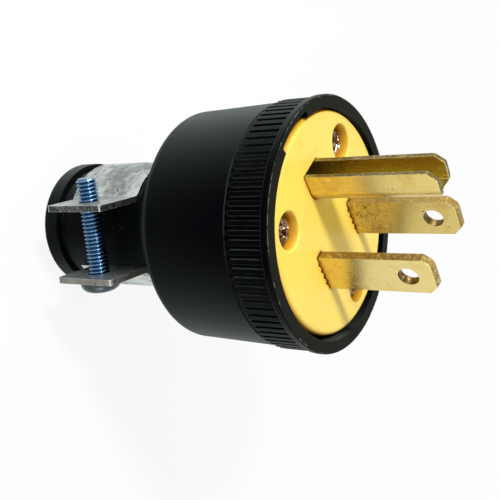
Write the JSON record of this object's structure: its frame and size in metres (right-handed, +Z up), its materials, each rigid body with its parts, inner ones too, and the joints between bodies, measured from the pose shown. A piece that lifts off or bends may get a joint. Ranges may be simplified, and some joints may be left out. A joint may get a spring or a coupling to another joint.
{
  "type": "polarized plug",
  "caption": "Rewirable straight-blade grounding plug: round ribbed housing, coloured front insert with flat blades and a U ground pin, and a two-piece cord clamp on the neck.",
  "frame": {"origin": "on the plug's axis, at the rear end of the neck, on which it stands", "axes": "+Z up along the plug's axis towards the blade tips, +X along the cord clamp's screws towards their heads; the ground pin lies 30 degrees from -X towards -Y"},
  "size_m": [0.04, 0.04, 0.0719],
  "materials": {
    "housing_plastic": "moulded, satin",
    "insert_plastic": "moulded, semi-gloss",
    "retainer_plastic": "moulded, matte",
    "blade_brass": "rolled, worn",
    "insert_brass": "turned",
    "clamp_zinc": "zinc plated, dull",
    "screw_blue_zinc": "blue zinc plated",
    "screw_nickel": "nickel plated",
    "screw_brass": "plain",
    "screw_green": "green dyed",
    "plate_steel": "zinc plated"
  },
  "bodies": {
    "root": {"housing": "housing_plastic", "front_face": "insert_plastic", "blade_retainer": "retainer_plastic", "line_blade": "blade_brass", "neutral_blade": "blade_brass", "ground_pin": "blade_brass", "line_terminal_screw": "screw_brass", "neutral_terminal_screw": "screw_nickel", "ground_terminal_screw": "screw_green", "line_wire_clamp": "plate_steel", "neutral_wire_clamp": "plate_steel", "ground_wire_clamp": "plate_steel", "face_screw_near": "screw_nickel", "face_screw_far": "screw_nickel", "face_screw_low": "screw_nickel", "boss_insert_near": "insert_brass", "boss_insert_far": "insert_brass", "boss_insert_low": "insert_brass", "clamp_upper": "clamp_zinc", "clamp_lower": "clamp_zinc", "clamp_screw_near": "screw_blue_zinc", "clamp_screw_far": "screw_blue_zinc"}
  },
  "joints": []
}
